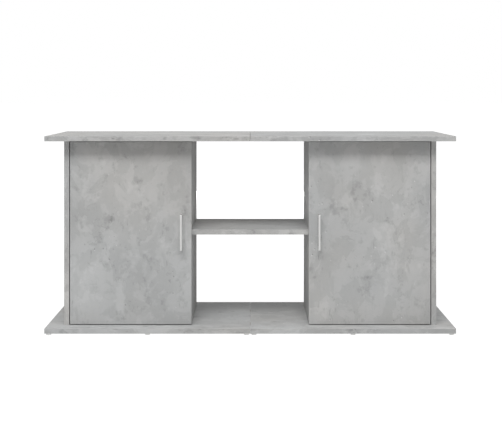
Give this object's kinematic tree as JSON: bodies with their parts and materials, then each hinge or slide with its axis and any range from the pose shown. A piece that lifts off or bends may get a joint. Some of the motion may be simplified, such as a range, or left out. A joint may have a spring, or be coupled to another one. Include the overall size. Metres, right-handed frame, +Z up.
{
  "type": "aquarium stand cabinet",
  "caption": "Low aquarium stand with hinged-door cupboards either side of an open shelved bay, between an overhanging top and base on small glides.",
  "frame": {"origin": "floor level at the middle of the footprint", "axes": "+X to the right seen from the front, +Y to the rear, +Z up"},
  "size_m": [1.21, 0.41, 0.586],
  "materials": {
    "plate_board": "matt concrete-look melamine on chipboard",
    "carcass_board": "matt concrete-look melamine on chipboard",
    "door_board": "matt concrete-look melamine on chipboard",
    "hardboard": "grey foil to the front, bare brown fibre to the rear",
    "handle_metal": "satin",
    "bumper": "soft translucent",
    "glide": "moulded",
    "beech": "raw beech",
    "hinge_metal": "nickel plated",
    "cam_metal": "die-cast zinc",
    "zinc_screw": "zinc plated"
  },
  "bodies": {
    "carcass": {"back_panel_left": "hardboard", "back_panel_right": "hardboard", "base_dowels": "beech", "base_joining_plates": "zinc_screw", "base_joining_screws": "zinc_screw", "base_panel_left": "plate_board", "base_panel_right": "plate_board", "base_screws": "zinc_screw", "cam_bolts": "zinc_screw", "cam_locks": "cam_metal", "centre_shelf": "carcass_board", "divider_left": "carcass_board", "divider_right": "carcass_board", "glide_nails": "zinc_screw", "glides": "glide", "hinge_arm_pins_left": "zinc_screw", "hinge_arm_pins_right": "zinc_screw", "hinge_arm_screws_left": "zinc_screw", "hinge_arm_screws_right": "zinc_screw", "hinge_arms_left": "hinge_metal", "hinge_arms_right": "hinge_metal", "hinge_plate_screws_left": "zinc_screw", "hinge_plate_screws_right": "zinc_screw", "hinge_plates_left": "hinge_metal", "hinge_plates_right": "hinge_metal", "inner_shelf_left": "carcass_board", "inner_shelf_right": "carcass_board", "seam_dowels": "beech", "shelf_pins": "zinc_screw", "shelf_screws": "zinc_screw", "side_panel_left": "carcass_board", "side_panel_right": "carcass_board", "top_dowels": "beech", "top_joining_plates": "zinc_screw", "top_joining_screws": "zinc_screw", "top_panel_left": "plate_board", "top_panel_right": "plate_board"},
    "left_outer_links": {"hinge_outer_links_left": "hinge_metal"},
    "left_inner_links": {"hinge_inner_links_left": "hinge_metal"},
    "left_door": {"door_left": "door_board", "door_handle_left": "handle_metal", "handle_screws_left": "zinc_screw", "door_bumpers_left": "bumper", "hinge_cups_left": "hinge_metal", "hinge_cup_screws_left": "zinc_screw", "hinge_cup_pins_left": "zinc_screw"},
    "right_outer_links": {"hinge_outer_links_right": "hinge_metal"},
    "right_inner_links": {"hinge_inner_links_right": "hinge_metal"},
    "right_door": {"door_right": "door_board", "door_handle_right": "handle_metal", "handle_screws_right": "zinc_screw", "door_bumpers_right": "bumper", "hinge_cups_right": "hinge_metal", "hinge_cup_screws_right": "zinc_screw", "hinge_cup_pins_right": "zinc_screw"}
  },
  "joints": [
    {"name": "left_outer_link_swing", "type": "hinge", "parent": "carcass", "child": "left_outer_links", "pos_m": [-0.5115, -0.131, 0.296], "axis": [0, 0, 1], "range_deg": [0, 40]},
    {"name": "left_door_hinge", "type": "hinge", "parent": "left_outer_links", "child": "left_door", "pos_m": [-0.525, -0.145, 0.296], "axis": [0, 0, -1], "range_deg": [0, 134.9]},
    {"name": "left_inner_link_swing", "type": "hinge", "parent": "carcass", "child": "left_inner_links", "pos_m": [-0.496, -0.134, 0.296], "axis": [0, 0, 1], "range_deg": [0, 27.6]},
    {"name": "right_outer_link_swing", "type": "hinge", "parent": "carcass", "child": "right_outer_links", "pos_m": [0.5115, -0.131, 0.296], "axis": [0, 0, -1], "range_deg": [0, 40]},
    {"name": "right_door_hinge", "type": "hinge", "parent": "right_outer_links", "child": "right_door", "pos_m": [0.525, -0.145, 0.296], "axis": [0, 0, 1], "range_deg": [0, 134.9]},
    {"name": "right_inner_link_swing", "type": "hinge", "parent": "carcass", "child": "right_inner_links", "pos_m": [0.496, -0.134, 0.296], "axis": [0, 0, -1], "range_deg": [0, 27.6]}
  ],
  "couplings": [
    {"joint": "left_outer_link_swing", "follows": "left_door_hinge", "ratio": 0.29578},
    {"joint": "left_inner_link_swing", "follows": "left_door_hinge", "ratio": 0.20422},
    {"joint": "right_outer_link_swing", "follows": "right_door_hinge", "ratio": 0.29578},
    {"joint": "right_inner_link_swing", "follows": "right_door_hinge", "ratio": 0.20422}
  ]
}
